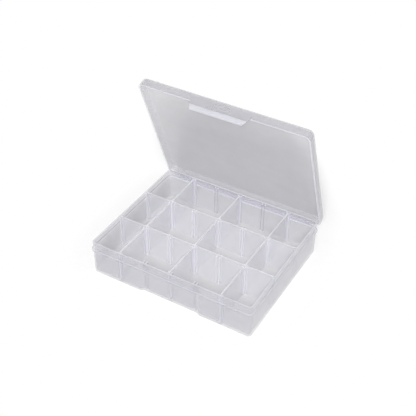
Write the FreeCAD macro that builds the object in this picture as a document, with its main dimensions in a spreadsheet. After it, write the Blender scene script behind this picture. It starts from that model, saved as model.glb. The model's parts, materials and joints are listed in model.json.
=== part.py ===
import FreeCAD, Part
import os
import Sketcher

# Compartment organizer box: a clear moulded tray, a lid on a living hinge,
# two long row dividers and nine short dividers that slide in guide ribs.
# Sizes are in mm. Z is up, the front is -Y, and the origin is the middle of the underside.

V = FreeCAD.Vector
doc = FreeCAD.newDocument("organizer_box")

# Sizes that can each be set by itself.
DRIVING = {
    # tray shell
    "tray_width": 200.0,      # outside, across the rim
    "tray_depth": 161.2,      # outside, across the rim
    "tray_height": 42.4,      # underside to rim
    "tray_wall": 1.6,
    "tray_floor": 1.8,
    "draft_inset": 0.2,       # how far the foot is drawn in on each side
    "rim_radius": 4.5,        # plan radius of the corners, at the rim
    "foot_radius": 0.8,       # rounding round the underside
    # bead that the closed lid lands on
    "rim_rise": 9.4,          # rim above the top of the bead
    "bead_height": 2.3,
    "bead_reach": 1.6,
    "bead_round": 0.7,
    # finger recess under the latch
    "recess_width": 67.0,     # at its back
    "recess_depth": 2.6,
    "recess_drop": 0.5,       # below the bead
    "recess_radius": 1.5,     # its upright corners
    "recess_splay": 60.0,     # flanks, degrees from straight in
    # dividers and their guides
    "plate": 1.6,
    "guide_pitch": 31.6,
    "guide_count": 5,
    "shelf_count": 3,         # guides behind the recess
    "rib_width": 1.4,
    "rib_reach": 2.0,
    "rib_shy": 1.0,           # ribs stop this far below the divider tops
    "slide_gap": 0.3,         # divider to each rib
    "end_gap": 0.35,          # divider end to the wall behind it
    "seat_gap": 0.15,         # divider to floor
    "top_gap": 0.2,           # divider top below the rim
    "plate_round": 2.0,
    "step_clear": 0.6,        # notched divider to the recess shelf
    # lid
    "lid_wall": 1.6,
    "lid_panel": 1.6,
    "lid_gap": 0.55,           # lid skirt to tray rim
    "lid_seat": 0.25,         # closed lid to bead and rim
    "lid_round": 2.7,
    "band_height": 4.0,
    "band_step": 0.3,
    "band_round": 0.2,
    # latch tab
    "tab_width": 72.0,
    "tab_drop": 11.0,          # below the lid edge
    "tab_taper": 5.4,         # each side, over the drop
    "tab_wall": 1.5,
    "tab_gap": 0.5,           # tab to bead
    "lip_height": 5.6,
    "lip_step": 1.0,
    "lip_round": 0.6,
    "catch_reach": 0.3,
    "catch_height": 1.2,
    "catch_gap": 0.4,         # catch to the underside of the bead
    "catch_inset": 6.0,       # catch ends, from the tab sides
    # living hinge
    "hinge_reach": 1.25,       # lid band to hinge axis
    "hinge_flange": 1.5,
    "flange_shy": 0.15,       # flanges stop this far before the axis plane
    "web_radius": 0.45,
    "web_length": 176.0,
    "web_fit": 0.06,
    "open_angle": 69.0,       # lid angle at rest, degrees from closed
}

# Sizes that follow from the ones above.
DERIVED = {
    "foot_width": "tray_width - 2 * draft_inset",
    "foot_depth": "tray_depth - 2 * draft_inset",
    "foot_corner": "rim_radius - draft_inset",
    "tray_draft": "atan(draft_inset / tray_height)",
    "floor_draw": "draft_inset * (1 - tray_floor / tray_height)",
    "well_width": "tray_width - 2 * tray_wall",
    "well_depth": "tray_depth - 2 * tray_wall",
    "well_corner": "rim_radius - tray_wall",
    "floor_width": "well_width - 2 * floor_draw",
    "floor_depth": "well_depth - 2 * floor_draw",
    "floor_corner": "well_corner - floor_draw",
    "bead_top": "tray_height - rim_rise",
    "bead_base": "bead_top - bead_height",
    "bead_width": "tray_width + 2 * bead_reach",
    "bead_depth": "tray_depth + 2 * bead_reach",
    "bead_corner": "rim_radius + bead_reach",
    "bead_root_width": "tray_width - tray_wall",
    "bead_root_depth": "tray_depth - tray_wall",
    "bead_root_corner": "rim_radius - tray_wall / 2",
    "recess_top": "bead_base - recess_drop",
    "recess_face": "foot_depth / 2 - recess_depth",
    "recess_half": "recess_width / 2",
    "recess_front": "tray_depth / 2 + bead_reach",
    "recess_mouth": "recess_half + (recess_front - recess_face) * tan(recess_splay)",
    "floor_bite": "tray_floor / 2",
    "shelf_half": "recess_half + tray_wall * (1 - sin(recess_splay)) / cos(recess_splay)",
    "shelf_top": "recess_top + tray_wall",
    "shelf_rise": "shelf_top - floor_bite",
    "shelf_face": "recess_face - tray_wall",
    "shelf_root": "floor_depth / 2 + tray_wall / 3",
    "shelf_foot": "shelf_half + (shelf_root - shelf_face) * tan(recess_splay)",
    "rib_top": "tray_height - top_gap - rib_shy",
    "rib_rise": "rib_top - floor_bite",
    "slot_half": "plate / 2 + slide_gap",
    "slot_outer": "slot_half + rib_width",
    "rib_root_y": "floor_depth / 2 + tray_wall / 3",
    "rib_face_y": "floor_depth / 2 - rib_reach",
    "rib_root_x": "floor_width / 2 + tray_wall / 3",
    "rib_face_x": "floor_width / 2 - rib_reach",
    "rib_shelf_y": "shelf_face - rib_reach",
    "guide_span": "guide_pitch * (guide_count - 1)",
    "guide_end": "guide_span / 2",
    "guide_end_in": "guide_end - slot_half",
    "guide_end_out": "guide_end - slot_outer",
    "guide_far_in": "guide_end + slot_half",
    "guide_far_out": "guide_end + slot_outer",
    "shelf_span": "guide_pitch * (shelf_count - 1)",
    "shelf_end": "shelf_span / 2",
    "shelf_near_in": "shelf_end - slot_half",
    "shelf_near_out": "shelf_end - slot_outer",
    "shelf_far_in": "shelf_end + slot_half",
    "shelf_far_out": "shelf_end + slot_outer",
    "row_clear": "(floor_depth - 2 * plate) / 3",
    "row_place": "(row_clear + plate) / 2",
    "row_near_in": "row_place - slot_half",
    "row_near_out": "row_place - slot_outer",
    "row_far_in": "row_place + slot_half",
    "row_far_out": "row_place + slot_outer",
    "seat_level": "tray_floor + seat_gap",
    "plate_top": "tray_height - top_gap",
    "long_half": "floor_width / 2 - end_gap",
    "short_half": "row_clear / 2 - end_gap",
    "short_place": "row_clear + plate",
    "plate_half": "plate / 2",
    "plate_rib": "plate / 2 + rib_reach",
    "plate_rise": "rib_top - seat_level",
    "step_half": "short_half - (floor_depth / 2 - shelf_face)",
    "step_top": "shelf_top + step_clear",
    "lid_width": "tray_width + 2 * lid_gap + 2 * lid_wall",
    "lid_depth": "tray_depth + 2 * lid_gap + 2 * lid_wall",
    "lid_corner": "rim_radius + lid_gap + lid_wall",
    "lid_edge": "bead_top + lid_seat",
    "lid_inner": "rim_rise",
    "lid_height": "lid_inner + lid_panel",
    "lid_well_width": "tray_width + 2 * lid_gap",
    "lid_well_depth": "tray_depth + 2 * lid_gap",
    "lid_well_corner": "rim_radius + lid_gap",
    "band_width": "lid_width + 2 * band_step",
    "band_depth": "lid_depth + 2 * band_step",
    "band_corner": "lid_corner + band_step",
    "band_root_width": "lid_width - lid_wall",
    "band_root_depth": "lid_depth - lid_wall",
    "band_root_corner": "lid_corner - lid_wall / 2",
    "tab_inner": "bead_depth / 2 + tab_gap",
    "tab_half": "tab_width / 2",
    "tab_tip_half": "tab_half - tab_taper",
    "tab_tip": "lid_edge - tab_drop",
    "tab_root": "lid_edge + band_height",
    "lip_top": "tab_tip + lip_height",
    "lip_thick": "tab_wall + lip_step",
    "lip_half": "tab_tip_half + tab_taper * lip_height / tab_drop",
    "catch_top": "bead_base - catch_gap",
    "catch_base": "catch_top - catch_height",
    "catch_root": "tab_inner + tab_wall / 2",
    "catch_face": "tab_inner - catch_reach",
    "catch_length": "tab_width - 2 * catch_inset",
    "hinge_y": "band_depth / 2 + hinge_reach",
    "hinge_z": "bead_top + lid_seat / 2",
    "flange_end": "hinge_y - flange_shy",
    "tray_flange_root": "bead_root_depth / 2",
    "tray_flange_base": "bead_top - hinge_flange",
    "lid_flange_root": "lid_depth / 2 - lid_wall / 2",
    "lid_flange_top": "lid_edge + hinge_flange",
    "bite_radius": "web_radius + web_fit",
    "web_half": "web_length / 2",
}

sheet = doc.addObject("Spreadsheet::Sheet", "Sizes")
row = 1
for name, number in DRIVING.items():
    sheet.set(f"A{row}", name)
    sheet.set(f"B{row}", str(number))
    sheet.setAlias(f"B{row}", name)
    row += 1
doc.recompute()
for name, formula in DERIVED.items():
    sheet.set(f"A{row}", name)
    sheet.set(f"B{row}", "=" + formula)
    sheet.setAlias(f"B{row}", name)
    row += 1
    doc.recompute()


def size(name):
    """The number behind a named size; a leading minus sign turns it over."""
    if name == "0":
        return 0.0
    if name.startswith("-"):
        return -float(sheet.get(name[1:]))
    return float(sheet.get(name))


def cell(name):
    """The same size as an expression for a property."""
    if name == "0":
        return "0"
    if name.startswith("-"):
        return "-Sizes." + name[1:]
    return "Sizes." + name


def new_body(label):
    body = doc.addObject("PartDesign::Body", label)
    body.Label = label
    return body


def plane_of(body, role):
    return next(f for f in body.Origin.OriginFeatures if f.Role == role)


def new_sketch(body, name, role, level="0", lift="0"):
    """A sketch on one of the body's origin planes, moved along its normal and up its own y axis."""
    sketch = body.newObject("Sketcher::SketchObject", name)
    sketch.AttachmentSupport = (plane_of(body, role), [""])
    sketch.MapMode = "FlatFace"
    sketch.setExpression("AttachmentOffset.Base.z", cell(level))
    sketch.setExpression("AttachmentOffset.Base.y", cell(lift))
    return sketch


def drive(sketch, kind, first, second, name):
    """A sketch dimension between two points that takes its value from a named size."""
    number = sketch.addConstraint(Sketcher.Constraint(kind, *first, *second, abs(size(name))))
    sketch.setExpression(f"Constraints[{number}]", cell(name.lstrip("-")))


def add_rounded(sketch, width, depth, radius):
    """A rectangle about the sketch's origin with four round corners."""
    a = size(width) / 2
    b = size(depth) / 2
    r = size(radius)
    start = sketch.GeometryCount
    corners = [(a - r, b - r), (r - a, b - r), (r - a, r - b), (a - r, r - b)]
    sides = [
        (V(a - r, b, 0), V(r - a, b, 0)),
        (V(-a, b - r, 0), V(-a, r - b, 0)),
        (V(r - a, -b, 0), V(a - r, -b, 0)),
        (V(a, r - b, 0), V(a, b - r, 0)),
    ]
    quarter = 3.141592653589793 / 2
    for k in range(4):
        circle = Part.Circle(V(*corners[k], 0), V(0, 0, 1), r)
        sketch.addGeometry(Part.ArcOfCircle(circle, k * quarter, (k + 1) * quarter))
        sketch.addGeometry(Part.LineSegment(*sides[k]))
    arcs = [start + 2 * k for k in range(4)]
    lines = [start + 2 * k + 1 for k in range(4)]
    for k in range(4):
        sketch.addConstraint(Sketcher.Constraint("Tangent", arcs[k], 2, lines[k], 1))
        sketch.addConstraint(Sketcher.Constraint("Tangent", lines[k], 2, arcs[(k + 1) % 4], 1))
        sketch.addConstraint(Sketcher.Constraint("Horizontal" if k % 2 == 0 else "Vertical", lines[k]))
    for k in range(1, 4):
        sketch.addConstraint(Sketcher.Constraint("Equal", arcs[0], arcs[k]))
    sketch.addConstraint(Sketcher.Constraint("Symmetric", arcs[0], 3, arcs[2], 3, -1, 1))
    number = sketch.addConstraint(Sketcher.Constraint("Radius", arcs[0], r))
    sketch.setExpression(f"Constraints[{number}]", cell(radius))
    drive(sketch, "DistanceX", (lines[1], 1), (lines[3], 1), width)
    drive(sketch, "DistanceY", (lines[2], 1), (lines[0], 1), depth)
    return sketch


def add_outline(sketch, points):
    """A closed outline whose corners each stand at named distances from the sketch's origin."""
    start = sketch.GeometryCount
    spots = [V(size(x), size(y), 0) for x, y in points]
    count = len(spots)
    for k in range(count):
        sketch.addGeometry(Part.LineSegment(spots[k], spots[(k + 1) % count]))
    for k in range(count):
        here = start + k
        after = start + (k + 1) % count
        sketch.addConstraint(Sketcher.Constraint("Coincident", here, 2, after, 1))
    for k, (x, y) in enumerate(points):
        for kind, name in (("DistanceX", x), ("DistanceY", y)):
            corner = (start + k, 1)
            origin = (-1, 1)
            if name == "0":
                upright = "Vertical" if kind == "DistanceX" else "Horizontal"
                sketch.addConstraint(Sketcher.Constraint(upright, *origin, *corner))
            elif name.startswith("-"):
                drive(sketch, kind, corner, origin, name)
            else:
                drive(sketch, kind, origin, corner, name)
    return sketch


def extrude(body, name, sketch, length, kind="Pad", both_ways=False, reverse=False):
    feature = body.newObject("PartDesign::" + kind, name)
    feature.Profile = sketch
    feature.setExpression("Length", cell(length))
    feature.Midplane = both_ways
    feature.Reversed = reverse
    sketch.Visibility = False
    doc.recompute()
    return feature


def loft(body, name, first, second, kind):
    feature = body.newObject("PartDesign::" + kind, name)
    feature.Profile = first
    feature.Sections = [second]
    feature.Ruled = True
    doc.recompute()
    return feature


def draw_out(body, name, base, angle):
    """Leans every upright face outwards from the floor plane, as a mould's draft does."""
    top = base.Shape.BoundBox.ZMax
    sides = []
    for number, face in enumerate(base.Shape.Faces, 1):
        box = face.BoundBox
        if box.ZMin < 0.01 and box.ZMax > top - 0.01:
            sides.append(f"Face{number}")
    feature = body.newObject("PartDesign::Draft", name)
    feature.Base = (base, sides)
    feature.NeutralPlane = (plane_of(body, "XY_Plane"), [""])
    feature.setExpression("Angle", cell(angle))
    feature.Reversed = True
    base.Visibility = False
    doc.recompute()
    return feature


def repeat(body, name, feature, axis, length, count):
    pattern = body.newObject("PartDesign::LinearPattern", name)
    pattern.Originals = [feature]
    pattern.Direction = (plane_of(body, axis), [""])
    pattern.setExpression("Length", cell(length))
    pattern.setExpression("Occurrences", cell(count))
    body.Tip = pattern
    doc.recompute()
    return pattern


def mirror(body, name, features, role):
    mirrored = body.newObject("PartDesign::Mirrored", name)
    mirrored.Originals = features
    mirrored.MirrorPlane = (plane_of(body, role), [""])
    body.Tip = mirrored
    doc.recompute()
    return mirrored


def soften(body, name, base, wanted, radius):
    """Rounds the edges of the last feature that a test on their bounding box picks."""
    edges = []
    for number, edge in enumerate(base.Shape.Edges, 1):
        if wanted(edge.BoundBox):
            edges.append(f"Edge{number}")
    if not edges:
        raise RuntimeError(f"{name}: no edge found to round")
    feature = body.newObject("PartDesign::Fillet", name)
    feature.Base = (base, edges)
    feature.setExpression("Radius", cell(radius))
    base.Visibility = False
    doc.recompute()
    return feature


def at_level(level):
    """Edges that lie flat at a height."""
    return lambda box: abs(box.ZMin - level) < 0.01 and abs(box.ZMax - level) < 0.01


def slot_ribs(in_x, out_x, face, root):
    """The two ribs of one guide, as outlines in plan: each pair of names is near and far."""
    return [
        [(in_x[0], root), (out_x[0], root), (out_x[0], face), (in_x[0], face)],
        [(in_x[1], root), (out_x[1], root), (out_x[1], face), (in_x[1], face)],
    ]


def turned(outline):
    """The same outline with plan x and y exchanged, for the side walls."""
    return [(y, x) for x, y in outline]


def upright_ribs(body, name, outlines):
    """Guide ribs standing on the floor, from outlines in plan."""
    sketch = new_sketch(body, name + "_plan", "XY_Plane", "floor_bite")
    for outline in outlines:
        add_outline(sketch, outline)
    return extrude(body, name, sketch, "rib_rise")


# Tray: a drawn shell with a bead round it, a finger recess and guide ribs.
tray = new_body("base_tray")
foot = add_rounded(new_sketch(tray, "foot", "XY_Plane"), "foot_width", "foot_depth", "foot_corner")
block = extrude(tray, "block", foot, "tray_height")
shell = draw_out(tray, "shell", block, "tray_draft")
soften(tray, "foot_rounding", shell, at_level(0.0), "foot_radius")
well_floor = new_sketch(tray, "well_floor", "XY_Plane", "tray_floor")
add_rounded(well_floor, "floor_width", "floor_depth", "floor_corner")
well_rim = new_sketch(tray, "well_rim", "XY_Plane", "tray_height")
add_rounded(well_rim, "well_width", "well_depth", "well_corner")
loft(tray, "well", well_floor, well_rim, "SubtractiveLoft")

# The wall steps in behind the finger recess: this shelf and its guides go on before the recess is cut.
shelf_plan = new_sketch(tray, "shelf_plan", "XY_Plane", "floor_bite")
add_outline(shelf_plan, [
    ("-shelf_foot", "-shelf_root"), ("shelf_foot", "-shelf_root"),
    ("shelf_half", "-shelf_face"), ("-shelf_half", "-shelf_face"),
])
extrude(tray, "shelf", shelf_plan, "shelf_rise")

# Guides for the short dividers on the rear wall, and on the front wall beside and behind the recess.
first = (("-guide_end_in", "-guide_far_in"), ("-guide_end_out", "-guide_far_out"))
rear_ribs = upright_ribs(tray, "rear_ribs", slot_ribs(*first, "rib_face_y", "rib_root_y"))
repeat(tray, "rear_guides", rear_ribs, "X_Axis", "guide_span", "guide_count")
outer_ribs = upright_ribs(tray, "outer_ribs", slot_ribs(*first, "-rib_face_y", "-rib_root_y"))
mirror(tray, "outer_guides", [outer_ribs], "YZ_Plane")
near = (("-shelf_near_in", "-shelf_far_in"), ("-shelf_near_out", "-shelf_far_out"))
shelf_ribs = upright_ribs(tray, "shelf_ribs", slot_ribs(*near, "-rib_shelf_y", "-rib_root_y"))
repeat(tray, "shelf_guides", shelf_ribs, "X_Axis", "shelf_span", "shelf_count")

# Guides for the long dividers on the side walls.
side = (("row_near_in", "row_far_in"), ("row_near_out", "row_far_out"))
back = (("-row_near_in", "-row_far_in"), ("-row_near_out", "-row_far_out"))
side_outlines = slot_ribs(*side, "rib_face_x", "rib_root_x") + slot_ribs(*back, "rib_face_x", "rib_root_x")
side_ribs = upright_ribs(tray, "side_ribs", [turned(outline) for outline in side_outlines])
mirror(tray, "side_guides", [side_ribs], "YZ_Plane")

# The recess is cut through the shelf and the roots of its ribs, up to just under the bead.
recess_plan = new_sketch(tray, "recess_plan", "XY_Plane")
add_outline(recess_plan, [
    ("-recess_mouth", "-recess_front"), ("recess_mouth", "-recess_front"),
    ("recess_half", "-recess_face"), ("-recess_half", "-recess_face"),
])
recess = extrude(tray, "recess", recess_plan, "recess_top", "Pocket", reverse=True)
recess_corner = size("recess_half")


def in_recess(box):
    upright = box.XMax - box.XMin < 0.01 and box.YMax - box.YMin < 0.01
    return upright and abs(abs(box.XMin) - recess_corner) < 0.01 and abs(box.YMin + size("recess_face")) < 0.01


soften(tray, "recess_rounding", recess, in_recess, "recess_radius")

# The bead runs round the outside, over the top of the recess.
bead_plan = new_sketch(tray, "bead_plan", "XY_Plane", "bead_base")
add_rounded(bead_plan, "bead_width", "bead_depth", "bead_corner")
add_rounded(bead_plan, "bead_root_width", "bead_root_depth", "bead_root_corner")
bead = extrude(tray, "bead", bead_plan, "bead_height")
reach_x = size("bead_width") / 2
reach_y = size("bead_depth") / 2
levels = (size("bead_base"), size("bead_top"))


def on_bead(box):
    flat = box.ZMax - box.ZMin < 0.01
    level = min(abs(box.ZMin - levels[0]), abs(box.ZMin - levels[1])) < 0.01
    outer = max(abs(box.XMin), abs(box.XMax)) > reach_x - 0.01 or max(abs(box.YMin), abs(box.YMax)) > reach_y - 0.01
    return flat and level and outer


soften(tray, "bead_rounding", bead, on_bead, "bead_round")

# Rear flange that carries the hinge web.
tray_flange = new_sketch(tray, "tray_flange_profile", "YZ_Plane")
add_outline(tray_flange, [
    ("tray_flange_root", "tray_flange_base"), ("flange_end", "tray_flange_base"),
    ("flange_end", "bead_top"), ("tray_flange_root", "bead_top"),
])
extrude(tray, "tray_flange", tray_flange, "web_length", both_ways=True)


def cut_web_seat(body, name, radius):
    """A round groove along the hinge axis."""
    sketch = new_sketch(body, name + "_circle", "YZ_Plane")
    r = size(radius)
    circle = sketch.addGeometry(Part.Circle(V(size("hinge_y"), size("hinge_z"), 0), V(0, 0, 1), r))
    number = sketch.addConstraint(Sketcher.Constraint("Radius", circle, r))
    sketch.setExpression(f"Constraints[{number}]", cell(radius))
    drive(sketch, "DistanceX", (-1, 1), (circle, 3), "hinge_y")
    drive(sketch, "DistanceY", (-1, 1), (circle, 3), "hinge_z")
    return extrude(body, name, sketch, "lid_width", "Pocket", both_ways=True)


cut_web_seat(tray, "tray_web_seat", "web_radius")

# Lid, drawn closed: a shallow pan with a stepped skirt, a latch tab and its own hinge flange.
lid = new_body("lid")
pan_plan = new_sketch(lid, "pan_plan", "XY_Plane", "lid_edge")
add_rounded(pan_plan, "lid_width", "lid_depth", "lid_corner")
pan = extrude(lid, "pan", pan_plan, "lid_height")
soften(lid, "pan_rounding", pan, at_level(size("lid_edge") + size("lid_height")), "lid_round")
pan_well = new_sketch(lid, "pan_well_plan", "XY_Plane", "lid_edge")
add_rounded(pan_well, "lid_well_width", "lid_well_depth", "lid_well_corner")
extrude(lid, "pan_well", pan_well, "lid_inner", "Pocket", reverse=True)
band_plan = new_sketch(lid, "band_plan", "XY_Plane", "lid_edge")
add_rounded(band_plan, "band_width", "band_depth", "band_corner")
add_rounded(band_plan, "band_root_width", "band_root_depth", "band_root_corner")
band = extrude(lid, "band", band_plan, "band_height")
band_x = size("band_width") / 2
band_y = size("band_depth") / 2
band_top = size("lid_edge") + size("band_height")


def on_band(box):
    outer = max(abs(box.XMin), abs(box.XMax)) > band_x - 0.01 or max(abs(box.YMin), abs(box.YMax)) > band_y - 0.01
    return at_level(band_top)(box) and outer


soften(lid, "band_rounding", band, on_band, "band_round")

tab_outline = new_sketch(lid, "tab_outline", "XZ_Plane", "tab_inner")
add_outline(tab_outline, [
    ("-tab_tip_half", "tab_tip"), ("tab_tip_half", "tab_tip"), ("tab_half", "lid_edge"),
    ("tab_half", "tab_root"), ("-tab_half", "tab_root"), ("-tab_half", "lid_edge"),
])
extrude(lid, "tab", tab_outline, "tab_wall")
lip_outline = new_sketch(lid, "lip_outline", "XZ_Plane", "tab_inner")
add_outline(lip_outline, [
    ("-tab_tip_half", "tab_tip"), ("tab_tip_half", "tab_tip"),
    ("lip_half", "lip_top"), ("-lip_half", "lip_top"),
])
lip = extrude(lid, "lip", lip_outline, "lip_thick")
lip_front = -(size("tab_inner") + size("lip_thick"))


def on_lip(box):
    return abs(box.YMin - lip_front) < 0.01 and abs(box.YMax - lip_front) < 0.01


soften(lid, "lip_rounding", lip, on_lip, "lip_round")
catch_profile = new_sketch(lid, "catch_profile", "YZ_Plane")
add_outline(catch_profile, [
    ("-catch_root", "catch_base"), ("-catch_root", "catch_top"),
    ("-tab_inner", "catch_top"), ("-catch_face", "catch_base"),
])
extrude(lid, "catch", catch_profile, "catch_length", both_ways=True)

lid_flange = new_sketch(lid, "lid_flange_profile", "YZ_Plane")
add_outline(lid_flange, [
    ("lid_flange_root", "lid_edge"), ("flange_end", "lid_edge"),
    ("flange_end", "lid_flange_top"), ("lid_flange_root", "lid_flange_top"),
])
extrude(lid, "lid_flange", lid_flange, "web_length", both_ways=True)
cut_web_seat(lid, "lid_web_seat", "bite_radius")

# The lid stands open about the hinge axis, as at rest.
lid.Placement = FreeCAD.Placement(V(0, 0, 0), FreeCAD.Rotation(V(1, 0, 0), -size("open_angle")),
                                  V(0, size("hinge_y"), size("hinge_z")))

# Living hinge: the thin web that both flanges meet.
web = doc.addObject("Part::Cylinder", "hinge_web")
web.Label = "hinge_web"
web.setExpression("Radius", cell("web_radius"))
web.setExpression("Height", cell("web_length"))
web.Placement = FreeCAD.Placement(V(-size("web_half"), size("hinge_y"), size("hinge_z")),
                                  FreeCAD.Rotation(V(0, 1, 0), 90))


def round_top_corners(body, base, half, axis):
    """Rounds the two upper corners of a divider plate."""
    top = size("plate_top")

    def wanted(box):
        low, high = (box.XMin, box.XMax) if axis == "x" else (box.YMin, box.YMax)
        at_end = abs(high - low) < 0.01 and abs(abs(low) - half) < 0.01
        return at_end and abs(box.ZMin - top) < 0.01 and abs(box.ZMax - top) < 0.01

    return soften(body, "top_rounding", base, wanted, "plate_round")


def make_row_divider(label, place):
    """A long divider with a guide on both faces at every pitch."""
    body = new_body(label)
    outline = new_sketch(body, "plate_outline", "XZ_Plane")
    add_outline(outline, [
        ("-long_half", "seat_level"), ("long_half", "seat_level"),
        ("long_half", "plate_top"), ("-long_half", "plate_top"),
    ])
    plate = extrude(body, "plate_pad", outline, "plate", both_ways=True)
    round_top_corners(body, plate, size("long_half"), "x")
    ribs_plan = new_sketch(body, "ribs_plan", "XY_Plane", "seat_level")
    pair = (("-guide_end_in", "-guide_far_in"), ("-guide_end_out", "-guide_far_out"))
    for face in ("plate_rib", "-plate_rib"):
        for rib in slot_ribs(*pair, face, "0"):
            add_outline(ribs_plan, rib)
    ribs = extrude(body, "ribs", ribs_plan, "plate_rise")
    repeat(body, "guides", ribs, "X_Axis", "guide_span", "guide_count")
    body.Placement.Base = V(0, place, 0)
    return body


def make_short_divider(label, column, place, stepped):
    """A short divider; the stepped one is cut back to stand behind the finger recess."""
    body = new_body(label)
    outline = new_sketch(body, "plate_outline", "YZ_Plane")
    front = [("-short_half", "seat_level")]
    if stepped:
        front = [("-short_half", "step_top"), ("-step_half", "step_top"), ("-step_half", "seat_level")]
    add_outline(outline, front + [
        ("short_half", "seat_level"), ("short_half", "plate_top"), ("-short_half", "plate_top"),
    ])
    plate = extrude(body, "plate_pad", outline, "plate", both_ways=True)
    round_top_corners(body, plate, size("short_half"), "y")
    body.Placement.Base = V(column, place, 0)
    return body


row_dividers = []
for label, sign in (("row_divider_rear", 1), ("row_divider_front", -1)):
    row_dividers.append(make_row_divider(label, sign * size("row_place")))

short_dividers = []
for row_name, row_sign in (("rear", 1), ("middle", 0), ("front", -1)):
    for column_name, column_sign in (("left", -1), ("centre", 0), ("right", 1)):
        label = f"short_divider_{row_name}_{column_name}"
        stepped = row_name == "front" and column_name == "centre"
        column = column_sign * size("guide_end")
        place = row_sign * size("short_place")
        short_dividers.append(make_short_divider(label, column, place, stepped))

doc.recompute()

# Every object is checked before anything is written.
for thing in doc.Objects:
    bad = [state for state in thing.State if state in ("Invalid", "Error")]
    if bad:
        raise RuntimeError(f"{thing.Label}: {bad}")
pieces = [tray, lid, web] + row_dividers + short_dividers
os.makedirs("parts", exist_ok=True)
for piece in pieces:
    shape = piece.Shape
    if shape.isNull() or not shape.isValid() or len(shape.Solids) != 1:
        raise RuntimeError(f"{piece.Label}: not one valid solid")
    shape.exportStep(f"parts/{piece.Label}.step")
    box = shape.BoundBox
    print(f"{piece.Label}: {shape.Volume / 1000:.2f} cm3, "
          f"x {box.XMin:.1f} {box.XMax:.1f}, y {box.YMin:.1f} {box.YMax:.1f}, z {box.ZMin:.1f} {box.ZMax:.1f}")
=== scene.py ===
# %% [markdown]
# # A clear box for small things
# This lesson dresses a compartment organizer box: a tray, a lid on a thin hinge, and plates that slide down
# between ribs to make the compartments. The shapes are the part's own solids, which arrive with the frame.
# What is left to make is the look of natural polypropylene, the milky, half clear plastic that such boxes
# are moulded from, and the light that shows it.

# %% Load the solids
import json
import math

import bmesh
import bpy
from mathutils import Matrix, Vector


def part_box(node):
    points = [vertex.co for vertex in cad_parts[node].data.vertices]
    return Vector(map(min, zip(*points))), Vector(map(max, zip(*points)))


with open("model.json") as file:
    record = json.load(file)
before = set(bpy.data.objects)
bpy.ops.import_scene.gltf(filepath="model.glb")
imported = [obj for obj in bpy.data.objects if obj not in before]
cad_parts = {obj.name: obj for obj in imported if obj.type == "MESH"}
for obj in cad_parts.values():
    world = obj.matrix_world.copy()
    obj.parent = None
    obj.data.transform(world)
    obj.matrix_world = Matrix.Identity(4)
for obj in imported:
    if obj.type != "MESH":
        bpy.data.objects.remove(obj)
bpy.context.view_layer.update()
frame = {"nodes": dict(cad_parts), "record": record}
nodes = frame["nodes"]

# %% [markdown]
# ## The camera
# The photograph was fitted with a pinhole camera: the outlines of the tray and the lid fix where the camera
# stood and how long its lens was. The turn is about the box's upright axis, the height is the angle above
# the table, and the aim is a point about level with the rim. A camera could also be placed by eye, but lines
# that fall within a pixel of the photograph's make every later comparison easier.

# %% Stand the camera
IMAGE_SIDE_PX = 416
FOCAL_PX = 841.57
SENSOR_MM = 36.0
CAMERA_TURN = math.radians(29.965)
CAMERA_HEIGHT = math.radians(38.485)
CAMERA_ROLL = math.radians(0.700)
CAMERA_AIM = Vector((-0.021787, 0.040372, 0.040))
CAMERA_DISTANCE = 0.978225

back = Vector((
    math.sin(CAMERA_TURN) * math.cos(CAMERA_HEIGHT),
    -math.cos(CAMERA_TURN) * math.cos(CAMERA_HEIGHT),
    math.sin(CAMERA_HEIGHT),
))
level = Vector((math.cos(CAMERA_TURN), math.sin(CAMERA_TURN), 0.0))
upward = back.cross(level)
right = math.cos(CAMERA_ROLL) * level + math.sin(CAMERA_ROLL) * upward
up = back.cross(right)
lens = bpy.data.cameras.new("camera")
lens.sensor_width = SENSOR_MM
lens.lens = FOCAL_PX / IMAGE_SIDE_PX * SENSOR_MM
camera = bpy.data.objects.new("camera", lens)
camera.matrix_world = Matrix.LocRotScale(
    CAMERA_AIM + back * CAMERA_DISTANCE,
    Matrix((right, up, back)).transposed().to_quaternion(),
    None,
)
bpy.context.scene.collection.objects.link(camera)
bpy.context.scene.camera = camera
print("lens", round(lens.lens, 2), "mm")

# %% [markdown]
# ## Where the box bends
# The lid stands open about the hinge. Some finishes below follow the lid's own directions, so the opening
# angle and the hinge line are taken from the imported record's joint: at rest the lid is as far open as the
# joint can still be turned back to shut.

# %% Find the lid's directions
hinge = next(j for j in frame["record"]["behaviour"]["joints"] if j["name"] == "lid_hinge")
LID_OPEN = math.radians(-hinge["range_deg"][0])
HINGE_AT = Vector(hinge["pos_m"])
INTO_LID_MOUTH = Vector((0.0, -math.sin(LID_OPEN), -math.cos(LID_OPEN)))
LID_EDGE = HINGE_AT.dot(INTO_LID_MOUTH)
print("lid open", round(math.degrees(LID_OPEN), 1), "degrees, edge plane at", round(LID_EDGE, 4), "m")


# %% [markdown]
# ## Small helpers for nodes
# A material is a graph of nodes. It could be drawn by hand in the Shader Editor, but a script builds the
# same graph each time and can repeat it with other values. The first helpers start an empty material and an
# empty group with its sockets. The next ones add a node with what it is given, and the few nodes that come
# up again and again.

# %% Start a material or a group
def new_material(name):
    """An empty node material with its nodes and links."""
    made = bpy.data.materials.new(name)
    made.use_nodes = True
    made.node_tree.nodes.clear()
    return made, made.node_tree.nodes, made.node_tree.links


def new_group(name, takes, gives, directions=()):
    """An empty shader node group; its sockets are numbers, apart from those named as directions."""
    group = bpy.data.node_groups.new(name, "ShaderNodeTree")
    for way, sockets in (("INPUT", takes), ("OUTPUT", gives)):
        for socket in sockets:
            kind = "NodeSocketVector" if socket in directions else "NodeSocketFloat"
            group.interface.new_socket(socket, in_out=way, socket_type=kind)
    taken = group.nodes.new("NodeGroupInput").outputs
    given = group.nodes.new("NodeGroupOutput").inputs
    return group, group.nodes, group.links, taken, given


print("starters:", new_material.__name__, new_group.__name__)


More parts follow.
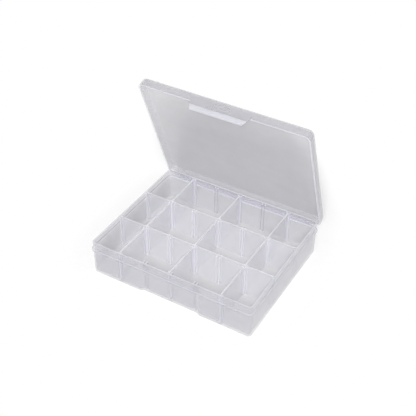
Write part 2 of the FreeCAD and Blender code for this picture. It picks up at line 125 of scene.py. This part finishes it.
# %% Add nodes
def put(parts, wires, kind, settings=None, **given):
    """Adds a node, sets its options, and sets or wires its inputs by name or by i0, i1, i2."""
    node = parts.new(kind)
    for option, value in (settings or {}).items():
        setattr(node, option, value)
    for name, value in given.items():
        socket = int(name[1:]) if name[0] == "i" and name[1:].isdigit() else name.replace("_", " ")
        if isinstance(value, bpy.types.NodeSocket):
            wires.new(value, node.inputs[socket])
        else:
            node.inputs[socket].default_value = value
    return node


def maths(parts, wires, operation, *values):
    """The result of one Math node."""
    given = {f"i{k}": value for k, value in enumerate(values)}
    return put(parts, wires, "ShaderNodeMath", {"operation": operation}, **given).outputs[0]


def vector_maths(parts, wires, operation, *values):
    """The outputs of one Vector Math node."""
    given = {f"i{k}": value for k, value in enumerate(values)}
    return put(parts, wires, "ShaderNodeVectorMath", {"operation": operation}, **given).outputs


def chain(parts, wires, operation, values):
    """Joins any number of values, two at a time: MULTIPLY gives all of them at once, MAXIMUM any of them."""
    joined = values[0]
    for value in values[1:]:
        joined = maths(parts, wires, operation, joined, value)
    return joined


print("node helpers:", put.__name__, maths.__name__, vector_maths.__name__, chain.__name__)

# %% [markdown]
# ## Painted glow at the ends
# Look along a sheet of milky plastic and it is nearly white, because the light has crossed a long way of
# haze. That is why the rim, the tops of the plates and the edge of the lid's skirt draw pale lines. A volume
# could do this, but it renders slowly and can't be kept in an exported model. Instead, the glow is painted:
# a group finds these faces, which point along an axis, lie between two heights along it, and can be kept to
# the part of a piece that is above a height over the table, and the material paints them paler.

# %% Group: painted glow at the ends
painted_glow_ends, parts, wires, taken, given = new_group(
    "painted_glow_ends",
    ["Axis", "From", "To", "Least Facing", "Above Table", "Strength"],
    ["Mask"],
    directions=["Axis"],
)
where = put(parts, wires, "ShaderNodeTexCoord").outputs
facing = vector_maths(parts, wires, "DOT_PRODUCT", where["Normal"], taken["Axis"])["Value"]
height = vector_maths(parts, wires, "DOT_PRODUCT", where["Object"], taken["Axis"])["Value"]
spot = put(parts, wires, "ShaderNodeSeparateXYZ", Vector=where["Object"]).outputs
turned = maths(parts, wires, "GREATER_THAN", facing, taken["Least Facing"])
above = maths(parts, wires, "GREATER_THAN", height, taken["From"])
below = maths(parts, wires, "LESS_THAN", height, taken["To"])
high = maths(parts, wires, "GREATER_THAN", spot["Z"], taken["Above Table"])
# The mask marks where glow is painted: a paler colour and more haze.
mask = chain(parts, wires, "MULTIPLY", [turned, above, below, high, taken["Strength"]])
wires.new(mask, given["Mask"])
print("group", painted_glow_ends.name, "has", len(parts), "nodes")

# %% [markdown]
# ## Guide ribs
# The plates stand between pairs of small ribs, and there the plastic is three or four walls deep, so light
# crossing the haze makes a guide that holds a plate a pale upright stripe, also through the front wall. This
# glow is painted: the group marks these stripes and the material paints them paler. Painting each rib would
# need a map of the surface. The group needs none: it measures how far a point is from the lines that the
# ribs stand on, the same on both sides of the box. It can keep to a stretch of a line, which leaves out the
# corners or the middle, and leave out faces that look outwards.

# %% Group: guide ribs
guide_ribs, parts, wires, taken, given = new_group(
    "guide_ribs",
    ["Line X", "Line Y", "From", "To", "Past", "Reach X", "Reach Y", "Most Outward", "Strength"],
    ["Mask"],
)
where = put(parts, wires, "ShaderNodeTexCoord").outputs
spot = put(parts, wires, "ShaderNodeSeparateXYZ", Vector=where["Object"]).outputs
look = put(parts, wires, "ShaderNodeSeparateXYZ", Vector=where["Normal"]).outputs
near_line = []
for axis, along in (("X", "Y"), ("Y", "X")):
    out_from_middle = maths(parts, wires, "ABSOLUTE", spot[axis])
    aside = maths(parts, wires, "SUBTRACT", out_from_middle, taken[f"Line {axis}"])
    distance = maths(parts, wires, "ABSOLUTE", aside)
    far_enough = maths(parts, wires, "GREATER_THAN", distance, taken["From"])
    near_enough = maths(parts, wires, "LESS_THAN", distance, taken["To"])
    beside = maths(parts, wires, "ABSOLUTE", spot[along])
    off_corner = maths(parts, wires, "LESS_THAN", beside, taken[f"Reach {along}"])
    off_middle = maths(parts, wires, "GREATER_THAN", beside, taken["Past"])
    side = maths(parts, wires, "SIGN", spot[axis])
    outward = maths(parts, wires, "MULTIPLY", look[axis], side)
    inward = maths(parts, wires, "LESS_THAN", outward, taken["Most Outward"])
    all_of = [far_enough, near_enough, off_corner, off_middle, inward]
    near_line.append(chain(parts, wires, "MULTIPLY", all_of))
either = chain(parts, wires, "MAXIMUM", near_line)
# The mask marks the guide stripes where glow is painted.
wires.new(maths(parts, wires, "MULTIPLY", either, taken["Strength"]), given["Mask"])
print("group", guide_ribs.name, "has", len(parts), "nodes")

# %% [markdown]
# ## Moulded skin
# A moulded wall is never quite even. The melt leaves soft clouds a few centimetres wide where it flowed and
# cooled, the steel of the mould leaves a fine grain, and use leaves faint scuffs that dull the gloss in
# patches. A scan of a real wall could show these too, but noise needs no picture and has no seams. Three
# noises of different sizes on Object coordinates give a cloud mask, a roughness and a height for bump.

# %% Group: moulded skin
FLOW_STRETCH = (0.6, 1.0, 1.3)
SCUFFS_PER_CLOUD = 6.0
SCUFF_NOISE = (0.35, 0.75)
GRAIN_SHARE = 0.05


def noise(parts, wires, where, scale, **given):
    """The grey value of one Noise Texture."""
    return put(parts, wires, "ShaderNodeTexNoise", Vector=where, Scale=scale, **given).outputs["Fac"]


def spread(parts, wires, value, seen, wanted, curve="LINEAR"):
    """A value spread from the range that is seen to the range that is wanted, and held at its ends."""
    ranges = {"From_Min": seen[0], "From_Max": seen[1], "To_Min": wanted[0], "To_Max": wanted[1]}
    node = put(parts, wires, "ShaderNodeMapRange", {"interpolation_type": curve}, Value=value, **ranges)
    return node.outputs["Result"]


moulded_skin, parts, wires, taken, given = new_group(
    "moulded_skin",
    ["Cloud Scale", "Grain Scale", "Least Roughness", "Most Roughness"],
    ["Cloud", "Roughness", "Height"],
)
where = put(parts, wires, "ShaderNodeTexCoord").outputs["Object"]
flow = put(parts, wires, "ShaderNodeMapping", Vector=where, Scale=FLOW_STRETCH).outputs["Vector"]
clouds = noise(parts, wires, flow, taken["Cloud Scale"], Detail=3.0, Roughness=0.45, Distortion=0.8)
grain = noise(parts, wires, where, taken["Grain Scale"], Detail=2.0, Roughness=0.6)
scuff_scale = maths(parts, wires, "MULTIPLY", taken["Cloud Scale"], SCUFFS_PER_CLOUD)
scuffs = noise(parts, wires, flow, scuff_scale, Detail=5.0, Roughness=0.7)
worn = spread(parts, wires, scuffs, SCUFF_NOISE, (taken["Least Roughness"], taken["Most Roughness"]))
fine = maths(parts, wires, "MULTIPLY", grain, GRAIN_SHARE)
wires.new(clouds, given["Cloud"])
wires.new(worn, given["Roughness"])
wires.new(maths(parts, wires, "ADD", clouds, fine), given["Height"])
print("group", moulded_skin.name, "has", len(parts), "nodes")

# %% [markdown]
# ## Painted warm light at the feet
# Light that has passed through the plastic turns faintly warm, and at the bottom, where the plates meet the
# floor, this is painted into the colour as a warm tone of light. It is the one warm tone on the plastic, so
# the feet of the plates and the floor look faintly beige. The mask is strongest on the floor, fades a few
# millimetres up the walls, and is broken up by noise.

# %% Group: painted warm light at the feet
WARM_NOISE_SCALE = 220.0
WARM_NOISE_RANGE = (0.3, 0.7)
WARM_COVER = (0.5, 1.0)
warm_light_at_feet, parts, wires, taken, given = new_group(
    "warm_light_at_feet",
    ["Floor Height", "Depth", "Strength"],
    ["Mask"],
)
where = put(parts, wires, "ShaderNodeTexCoord").outputs["Object"]
spot = put(parts, wires, "ShaderNodeSeparateXYZ", Vector=where).outputs
raised = maths(parts, wires, "SUBTRACT", spot["Z"], taken["Floor Height"])
depths = maths(parts, wires, "DIVIDE", raised, taken["Depth"])
low_down = spread(parts, wires, depths, (0.0, 1.0), (1.0, 0.0), "SMOOTHSTEP")
warm_noise = noise(parts, wires, where, WARM_NOISE_SCALE, Detail=4.0, Roughness=0.65)
broken = spread(parts, wires, warm_noise, WARM_NOISE_RANGE, WARM_COVER)
thin = maths(parts, wires, "MULTIPLY", broken, taken["Strength"])
# The mask says where a warm tone of light is painted.
wires.new(maths(parts, wires, "MULTIPLY", low_down, thin), given["Mask"])
print("group", warm_light_at_feet.name, "has", len(parts), "nodes")

# %% [markdown]
# ## Polypropylene
# A wall of this plastic does three things. Part of the light goes straight through. Part is scattered by the
# crystals inside, a cool haze that shows on both sides. And the skin mirrors a little, more at a glancing
# angle. A Principled shader with some Alpha does the first two, a little Translucent shader lets the haze
# glow when it is lit from behind, and a Glossy shader over both, mixed by Layer Weight, is the skin. Real
# walls scatter inside their thickness; sharing the haze between the two faces of each wall looks the same
# from a step away and survives the export as alpha and colour.

# %% Colour the haze
COOL = 1.08
GREEN_SHARE = 0.995
# The haze and the paler colour painted on the lines of glow.
GLOW_LINE_ALPHA = 0.6
GLOW_LINE_MILK = 0.93


def cool(milk, blue=COOL):
    """The colour of a haze of this lightness, with a little more blue than red."""
    return (milk, milk * GREEN_SHARE, min(1.0, milk * blue), 1.0)


def place_group(parts, wires, group, **values):
    """The outputs of a group that is placed in a material with its own values."""
    return put(parts, wires, "ShaderNodeGroup", {"node_tree": group}, **values).outputs


def mix_values(parts, wires, share, first, second):
    """A share of the way from one number to another."""
    mixed = put(parts, wires, "ShaderNodeMix", {"data_type": "FLOAT"}, i0=share, i2=first, i3=second)
    return mixed.outputs[0]


def mix_colours(parts, wires, share, first, second):
    """A share of the way from one colour to another."""
    mixed = put(parts, wires, "ShaderNodeMix", {"data_type": "RGBA"}, i0=share, i6=first, i7=second)
    return mixed.outputs[2]


def painted_glow_lines(parts, wires, ends, ribs):
    """The strongest of all the lines of painted glow at a point."""
    masks = [place_group(parts, wires, painted_glow_ends, **values)["Mask"] for values in ends]
    masks += [place_group(parts, wires, guide_ribs, **values)["Mask"] for values in ribs]
    return chain(parts, wires, "MAXIMUM", masks)


print("pale lines: haze", GLOW_LINE_ALPHA, "colour", [round(v, 3) for v in cool(GLOW_LINE_MILK)])

# %% Gloss the skin
WHITE = (1.0, 1.0, 1.0, 1.0)
GLOSS_STRAIGHT_ON = 0.04
GLANCE_BLEND = 0.5
GLANCE_POWER = 5.0


def mix_shaders(parts, wires, share, first, second):
    """A share of the way from one shader to another."""
    return put(parts, wires, "ShaderNodeMixShader", i0=share, i1=first, i2=second).outputs[0]


def gloss_over(parts, wires, wall, roughness, bump):
    """A wall under its skin, which mirrors more at a glancing angle."""
    gloss = put(parts, wires, "ShaderNodeBsdfGlossy", Color=WHITE, Roughness=roughness, Normal=bump)
    glance = put(parts, wires, "ShaderNodeLayerWeight", Blend=GLANCE_BLEND).outputs["Facing"]
    steep = maths(parts, wires, "POWER", glance, GLANCE_POWER)
    mirrored = maths(parts, wires, "MULTIPLY_ADD", steep, 1.0 - GLOSS_STRAIGHT_ON, GLOSS_STRAIGHT_ON)
    return mix_shaders(parts, wires, mirrored, wall, gloss.outputs[0])


print("straight on, the skin mirrors", GLOSS_STRAIGHT_ON, "of the light")

# %% Mix the plastic
GLOW = 0.10
BUMP_STRENGTH = 0.04
BUMP_DEPTH = 0.0004
CLOUD_SCALE = 16.0
CLOUD_NOISE = (0.3, 0.7)
CLOUD_SWING = 0.12
GRAIN_SCALE = 900.0
SKIN_ROUGHNESS = (0.10, 0.26)
HAZE_ROUGHNESS = 0.5
WARM_LIGHT_COLOUR = (0.93, 0.90, 0.82, 1.0)
WARM_LIGHT_FLOOR = 0.0018
WARM_LIGHT_DEPTH = 0.003


def make_plastic(name, alpha, milk, ends, ribs=(), roughness=SKIN_ROUGHNESS, warm_light=0.0, blue=COOL):
    """Milky plastic; ends and ribs are lists of values for the two groups that find the lines of painted
    glow, and a warm tone of light can be painted at the feet of the walls.
    """
    made, parts, wires = new_material(name)
    skin = place_group(parts, wires, moulded_skin, Cloud_Scale=CLOUD_SCALE, Grain_Scale=GRAIN_SCALE,
                       Least_Roughness=roughness[0], Most_Roughness=roughness[1])
    glowing = painted_glow_lines(parts, wires, ends, ribs)
    swing = (alpha * (1.0 - CLOUD_SWING), alpha * (1.0 + CLOUD_SWING))
    cloudy = spread(parts, wires, skin["Cloud"], CLOUD_NOISE, swing)
    # Painted glow: more haze and a paler colour on the lines that the masks find.
    see_through = mix_values(parts, wires, glowing, cloudy, GLOW_LINE_ALPHA)
    tone = mix_colours(parts, wires, glowing, cool(milk, blue), cool(GLOW_LINE_MILK, blue))
    # Painted warm light at the feet of the walls and on the floor.
    if warm_light:
        warm_lit = place_group(parts, wires, warm_light_at_feet, Floor_Height=WARM_LIGHT_FLOOR, Depth=WARM_LIGHT_DEPTH,
                            Strength=warm_light)
        tone = mix_colours(parts, wires, warm_lit["Mask"], tone, WARM_LIGHT_COLOUR)
    bump = put(parts, wires, "ShaderNodeBump", Strength=BUMP_STRENGTH, Distance=BUMP_DEPTH,
               Height=skin["Height"]).outputs["Normal"]
    haze = put(parts, wires, "ShaderNodeBsdfPrincipled", Base_Color=tone, Alpha=see_through, Normal=bump,
               Roughness=HAZE_ROUGHNESS, Specular_IOR_Level=0.0)
    backlit = put(parts, wires, "ShaderNodeBsdfTranslucent", Color=cool(milk, blue))
    wall = mix_shaders(parts, wires, GLOW, haze.outputs[0], backlit.outputs[0])
    surface = gloss_over(parts, wires, wall, skin["Roughness"], bump)
    put(parts, wires, "ShaderNodeOutputMaterial", Surface=surface)
    print(name, "haze", alpha, "lightness", milk)
    return made


print("skin bump", BUMP_STRENGTH, "over", BUMP_DEPTH, "m")

# %% [markdown]
# ## Where the painted glow lies
# Each piece has its own lines of painted glow. Their faces could get materials of their own, but the solids
# stay as they came, so each line is found by its place. Most lines limit only one or two of the values that
# the groups take, and two small functions fill in the rest: a height or a facing that leaves nothing out,
# and a line so far away that no rib stands on it. The lines of the plates are measured on the solids, in
# metres.
# The other places are read off the part's own walls.

# %% Write down the painted glow
UP = Vector((0.0, 0.0, 1.0))
SQUARE_ON = 0.8
ANY_FACING = -2.0
ANY_OUTWARD = 2.0
NO_LEAST = -1.0
NO_MOST = 1.0
NO_LINE = 9.0


def painted_glow_end(axis, heights, strength, facing=SQUARE_ON, above_table=0.0):
    """Values for the group that paints glow on ends: faces between two heights along an axis."""
    return {"Axis": axis, "From": heights[0], "To": heights[1], "Least_Facing": facing,
            "Above_Table": above_table, "Strength": strength}


def painted_glow_rib(strength, end, line_x=NO_LINE, line_y=NO_LINE, past=NO_LEAST, reach_x=NO_MOST, reach_y=NO_MOST,
             start=NO_LEAST, outward=ANY_OUTWARD):
    """Values for guide_ribs, a stripe of painted glow from start to end, the distances from a line, on a
    stretch of it.
    """
    return {"Line_X": line_x, "Line_Y": line_y, "From": start, "To": end, "Past": past, "Reach_X": reach_x,
            "Reach_Y": reach_y, "Most_Outward": outward, "Strength": strength}


def middle_of(name, axis):
    """Where the middle of a piece lies along x (0), y (1) or z (2)."""
    low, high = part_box(name)
    return (low[axis] + high[axis]) / 2.0


def dress(names, plastic):
    """Gives pieces their plastic in place of the plain finish that they came with."""
    for name in names:
        nodes[name].data.materials.clear()
        nodes[name].data.materials.append(plastic)


PLATE_LINE = middle_of("short_divider_rear_right", 0)
ROW_LINE = middle_of("row_divider_rear", 1)
print("plates stand", round(PLATE_LINE, 5), "m to each side, rows part at", round(ROW_LINE, 5), "m")

# %% [markdown]
# ## The tray
# Tray, plates and lid are the same plastic, and their hazes are lit and shaded copies: the tray's is painted
# greyer than the plates', as painted shade, and the lid's greyer still. The tray is one moulded shell. Its
# rim and the top of its bead carry painted glow, its floor painted light from above, and the strip that the
# hinge hangs on painted light over the lid's shadow. So do the guides where a plate stands in them: on the
# side walls at the ends of the long plates, and on the front and rear walls at the ends of the short ones.
# The middle stripe ends sooner, to keep off the outside of the finger recess.

# %% Dress the tray
TRAY_ALPHA = 0.21
# Painted shade: the tray's haze is greyer than the plates'.
TRAY_SHADED_MILK = 0.605
# Strength of the painted warm light at the feet.
TRAY_WARM_LIGHT = 0.35
BACKWARD = Vector((0.0, 1.0, 0.0))
# Painted glow on the rim and bead tops, painted light from above on the floor, painted light on the shaded
# hinge strip.
TOPS = (0.036, 0.2)
TOPS_STRENGTH = 0.9
BEAD_TOP = (0.031, 0.034)
BEAD_STRENGTH = 0.55
FLOOR_TOP = (0.001, 0.003)
FLOOR_STRENGTH = 0.26
HINGE_FLANGE = (0.0807, 0.1)
HINGE_STRENGTH = 1.0
SIDE_RIBS_X = 0.0971
SIDE_RIBS_HALF = 0.0011
SIDE_RIBS_REACH = 0.035
FACES_OUT = 0.5
RIBS_STRENGTH = 0.5
GUIDE_HALF = 0.0026
WALL_FROM = 0.0755
WALL_TO = 0.0795
RECESS_WALL_TO = 0.0775
WALL_RIBS_STRENGTH = 0.55
tops = painted_glow_end(UP, TOPS, TOPS_STRENGTH)
tray_ends = [
    tops,
    painted_glow_end(UP, BEAD_TOP, BEAD_STRENGTH),
    painted_glow_end(UP, FLOOR_TOP, FLOOR_STRENGTH),
    painted_glow_end(BACKWARD, HINGE_FLANGE, HINGE_STRENGTH, ANY_FACING),
]
tray_ribs = [
    painted_glow_rib(RIBS_STRENGTH, SIDE_RIBS_HALF, SIDE_RIBS_X, reach_y=SIDE_RIBS_REACH, outward=FACES_OUT),
]
for line, reach in ((PLATE_LINE, WALL_TO), (0.0, RECESS_WALL_TO)):
    tray_ribs.append(painted_glow_rib(WALL_RIBS_STRENGTH, GUIDE_HALF, line, past=WALL_FROM, reach_y=reach))
tray_plastic = make_plastic("tray_plastic", TRAY_ALPHA, TRAY_SHADED_MILK, tray_ends, tray_ribs, warm_light=TRAY_WARM_LIGHT)
dress(["base_tray", "hinge_web"], tray_plastic)
print("tray:", len(tray_ends), "pale ends and", len(tray_ribs), "sets of ribs")

# %% [markdown]
# ## The plates
# The plates are thin and light in tone: where several stand behind each other the haze adds up and they look
# lighter, not darker. One material could serve all eleven, but their stripes of painted glow differ. A long
# plate carries painted glow on the ribs of both faces, and a short plate at its two ends, where it stands in
# a guide.

# %% Dress the plates
PLATE_ALPHA = 0.155
PLATE_MILK = 0.90
# Strength of the painted warm light at the feet.
PLATE_WARM_LIGHT = 0.4
PLATE_BLUE = 1.05
# Painted glow on the ribs of the long plates and the ends of the short ones.
ROW_RIBS = (0.00085, 0.0029)
ROW_RIBS_REACH = 0.09
ENDS_STRENGTH = 0.4
INNER_END_HALF = 0.0034
OUTER_END_Y = 0.0783
OUTER_END_HALF = 0.0022
row_ribs = painted_glow_rib(RIBS_STRENGTH, ROW_RIBS[1], line_y=ROW_LINE, reach_x=ROW_RIBS_REACH, start=ROW_RIBS[0])
plate_ends = [
    painted_glow_rib(ENDS_STRENGTH, INNER_END_HALF, line_y=ROW_LINE),
    painted_glow_rib(ENDS_STRENGTH, OUTER_END_HALF, line_y=OUTER_END_Y),
]
plates = [name for name in nodes if "divider" in name]
for length, first_word, ribs in (("long", "row", [row_ribs]), ("short", "short", plate_ends)):
    plastic = make_plastic(f"{length}_divider_plastic", PLATE_ALPHA, PLATE_MILK, [tops], ribs,
                           warm_light=PLATE_WARM_LIGHT, blue=PLATE_BLUE)
    dress([name for name in plates if name.startswith(first_word)], plastic)
print("plates:", len(plates))

# %% [markdown]
# ## The lid
# The lid is a shallow pan with a skirt, a latch lip and the other half of the hinge strip. Its panel is the
# greyest part of the box. Darker plastic alone would make it smoky when it is shut, so most of the grey
# comes from the lid's own shadow on the table, which is seen through it, and the rest is painted shade: its
# haze is a little darker than the tray's. Its skin is duller too: a sharp gloss would draw the rim's
# reflection on the panel in thin, wavy lines. Painted glow marks the skirt and its edge, a painted highlight
# the latch lip, and painted light the lid's half of the hinge strip.

# %% Dress the lid
LID_ALPHA = 0.25
# Painted shade: the lid's haze is darker than the tray's.
LID_SHADED_MILK = 0.525
LID_ROUGHNESS = (0.30, 0.45)
PAST_LIP = LID_EDGE + 0.1
SKIRT = (LID_EDGE - 0.0085, PAST_LIP)
SKIRT_ABOVE_TABLE = 0.045
SKIRT_STRENGTH = 0.05
SKIRT_EDGE = (LID_EDGE - 0.003, LID_EDGE + 0.002)
EDGE_STRENGTH = 0.8
LATCH_LIP = (LID_EDGE + 0.0053, PAST_LIP)
LIP_STRENGTH = 0.72
LID_FLANGE = (0.03, 0.0358)
LID_HINGE_STRENGTH = 0.8
# Painted glow on the skirt and its edge, a painted highlight on the latch lip, painted light on the hinge
# strip.
lid_ends = [
    painted_glow_end(INTO_LID_MOUTH, SKIRT, SKIRT_STRENGTH, ANY_FACING, SKIRT_ABOVE_TABLE),
    painted_glow_end(INTO_LID_MOUTH, SKIRT_EDGE, EDGE_STRENGTH),
    painted_glow_end(INTO_LID_MOUTH, LATCH_LIP, LIP_STRENGTH, ANY_FACING),
    painted_glow_end(UP, LID_FLANGE, LID_HINGE_STRENGTH, ANY_FACING),
]
lid_plastic = make_plastic("lid_plastic", LID_ALPHA, LID_SHADED_MILK, lid_ends, roughness=LID_ROUGHNESS)
dress(["lid"], lid_plastic)
print("lid:", len(lid_ends), "pale ends")

# %% [markdown]
# ## The table
# The box stands on a plain white table. Where the box throws its shadow, and where the table is seen through
# the lid, it is a plain lit surface. Farther off it fades to an even white, which only a looked-at ray sees:
# the light that falls on the box stays as it is. More light could whiten the table too, but would bleach the
# plastic. Each lit patch is a box with round corners, and the one behind the lid slants with the line of
# sight through it.

# %% Lay the table
FLOOR_REACH = 6.0
floor_mesh = bpy.data.meshes.new("floor")
sheet = bmesh.new()
bmesh.ops.create_grid(sheet, x_segments=1, y_segments=1, size=FLOOR_REACH)
sheet.to_mesh(floor_mesh)
sheet.free()
floor = bpy.data.objects.new("floor", floor_mesh)
bpy.context.scene.collection.objects.link(floor)
print("floor", [round(v, 2) for v in floor.dimensions], "m")

# %% Whiten the table
FLOOR_TONE = 0.98
FADE_FROM = 0.7
TRAY_PATCH = {"slant": 0.0, "middle": (-0.016, 0.0245), "halves": (0.116, 0.1045), "fade_to": 1.6}
LID_PATCH = {"slant": 0.747, "middle": (0.0803, 0.205), "halves": (0.13, 0.095), "fade_to": 1.2}


def looked_at(parts, wires):
    """1 for a ray that shows the eye what is there, straight on, mirrored or through something clear."""
    ray = put(parts, wires, "ShaderNodeLightPath").outputs
    kinds = [ray["Is Camera Ray"], ray["Is Glossy Ray"], ray["Is Transmission Ray"]]
    return chain(parts, wires, "MAXIMUM", kinds)


def fade_around(parts, wires, spot, slant, middle, halves, fade_to):
    """0 on a patch of the floor, rising to 1 around it."""
    slanted = maths(parts, wires, "MULTIPLY_ADD", spot["Y"], slant, spot["X"])
    shares = []
    for way, centre, half in zip((slanted, spot["Y"]), middle, halves):
        aside = maths(parts, wires, "SUBTRACT", way, centre)
        shares.append(maths(parts, wires, "DIVIDE", aside, half))
    share = put(parts, wires, "ShaderNodeCombineXYZ", X=shares[0], Y=shares[1]).outputs["Vector"]
    squares = vector_maths(parts, wires, "MULTIPLY", share, share)["Vector"]
    away = vector_maths(parts, wires, "LENGTH", squares)["Value"]
    return spread(parts, wires, away, (FADE_FROM, fade_to), (0.0, 1.0), "SMOOTHSTEP")


table_white, parts, wires = new_material("table_white")
matt = put(parts, wires, "ShaderNodeBsdfDiffuse", Color=(FLOOR_TONE, FLOOR_TONE, FLOOR_TONE, 1.0))
plain = put(parts, wires, "ShaderNodeEmission", Color=WHITE, Strength=1.0)
where = put(parts, wires, "ShaderNodeTexCoord").outputs["Object"]
spot = put(parts, wires, "ShaderNodeSeparateXYZ", Vector=where).outputs
fades = [fade_around(parts, wires, spot, **patch) for patch in (TRAY_PATCH, LID_PATCH)]
whitened = chain(parts, wires, "MULTIPLY", [looked_at(parts, wires), *fades])
table = mix_shaders(parts, wires, whitened, matt.outputs[0], plain.outputs[0])
put(parts, wires, "ShaderNodeOutputMaterial", Surface=table)
floor_mesh.materials.append(table_white)
print("lit patches on the table:", len(fades), "tone", FLOOR_TONE)

# %% [markdown]
# ## Lamps
# Clear plastic shows what is around it, so the light matters as much as the material. The front lamp stands
# high on the camera's side and lights the upright walls and plates. A larger one would be softer, but this
# one is small enough for the lid's shadow to keep its shape, and it falls just where the camera sees the
# table through the lid. A wide lamp overhead and a dim white surround fill in the rest. Together they are
# only as strong as a white table needs to look white.

# %% Hang the lamps
OVERHEAD_AT = Vector((0.0, 0.0, 3.4))
OVERHEAD_AIM = Vector((0.0, 0.0, 0.0))
OVERHEAD_SIDE = 2.8
OVERHEAD_WATTS = 21.5
FRONT_AT = Vector((1.3, -2.85, 2.45))
FRONT_AIM = Vector((0.0, 0.0, 0.05))
FRONT_SIDE = 0.8
FRONT_WATTS = 143.0


def hang(name, at, aim, side, watts):
    """Hangs a square soft lamp that looks at a point."""
    lamp = bpy.data.lights.new(name, "AREA")
    lamp.shape = "SQUARE"
    lamp.size = side
    lamp.energy = watts
    held = bpy.data.objects.new(name, lamp)
    held.matrix_world = Matrix.LocRotScale(at, (at - aim).to_track_quat("Z", "Y"), None)
    bpy.context.scene.collection.objects.link(held)
    print("lamp", name, watts, "W")


hang("softbox_over", OVERHEAD_AT, OVERHEAD_AIM, OVERHEAD_SIDE, OVERHEAD_WATTS)
hang("softbox_front", FRONT_AT, FRONT_AIM, FRONT_SIDE, FRONT_WATTS)

# %% Surround the box
SURROUND = 0.23
surround = bpy.data.worlds.new("surround")
bpy.context.scene.world = surround
surround.use_nodes = True
parts = surround.node_tree.nodes
wires = surround.node_tree.links
parts.clear()
dim = put(parts, wires, "ShaderNodeBackground", Color=WHITE, Strength=SURROUND)
white = put(parts, wires, "ShaderNodeBackground", Color=WHITE, Strength=1.0)
sky = mix_shaders(parts, wires, looked_at(parts, wires), dim.outputs[0], white.outputs[0])
put(parts, wires, "ShaderNodeOutputWorld", Surface=sky)
print("surround", SURROUND, "as light, white to look at")

# %% [markdown]
# ## Last settings
# Colours are shown as they are, with no film look. A line of sight can cross twenty or more walls here, so
# the number of clear faces that a ray may pass is raised, or the far ones would turn black.

# %% Finish
MOST_CLEAR_FACES = 48
bpy.context.scene.view_settings.view_transform = "Standard"
bpy.context.scene.cycles.transparent_max_bounces = MOST_CLEAR_FACES
